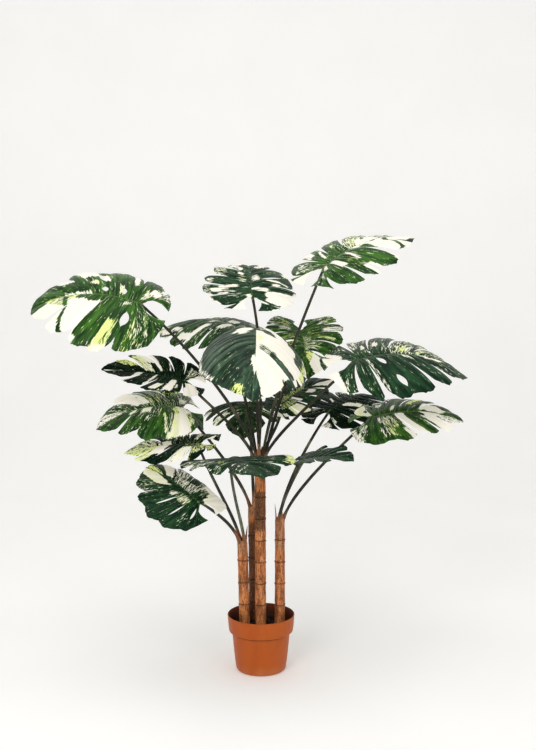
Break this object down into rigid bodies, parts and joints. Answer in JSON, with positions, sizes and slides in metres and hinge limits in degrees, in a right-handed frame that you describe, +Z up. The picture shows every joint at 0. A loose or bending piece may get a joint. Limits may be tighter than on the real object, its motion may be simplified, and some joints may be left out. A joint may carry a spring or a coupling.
{
  "type": "potted variegated monstera",
  "caption": "Round tapered pot of soil in which ringed canes stand upright and carry long leaf stalks that fan out to large split leaves, green marked with cream.",
  "frame": {"origin": "middle of the flat underside of the pot", "axes": "+Z up, along the canes; +X to the right and -Y to the front as the plant is seen"},
  "size_m": [1.1304, 0.749, 1.1514],
  "materials": {
    "pot": "smooth terracotta-coloured plastic, faintly glossy",
    "soil": "dark crumbly potting soil, dull",
    "cane": "orange-brown bark with dark streaks and leaf scars, dull",
    "petiole": "dark olive, ribbed, half matt",
    "blade": "green with cream sectors, streaks and speckles, waxy sheen"
  },
  "bodies": {
    "root": {"pot": "pot", "petiole_01": "petiole", "leaf_01": "blade", "petiole_02": "petiole", "leaf_02": "blade", "petiole_03": "petiole", "leaf_03": "blade", "petiole_04": "petiole", "leaf_04": "blade", "petiole_05": "petiole", "leaf_05": "blade", "petiole_06": "petiole", "leaf_06": "blade", "petiole_07": "petiole", "leaf_07": "blade", "petiole_10": "petiole", "leaf_10": "blade", "petiole_17": "petiole", "leaf_17": "blade", "petiole_12": "petiole", "leaf_12": "blade", "petiole_13": "petiole", "leaf_13": "blade", "petiole_14": "petiole", "leaf_14": "blade", "petiole_08": "petiole", "leaf_08": "blade", "petiole_09": "petiole", "leaf_09": "blade", "petiole_15": "petiole", "leaf_15": "blade", "petiole_11": "petiole", "leaf_11": "blade", "petiole_16": "petiole", "leaf_16": "blade", "cane_centre": "cane", "cane_left": "cane", "cane_right": "cane", "cane_back": "cane", "soil": "soil"}
  },
  "joints": []
}
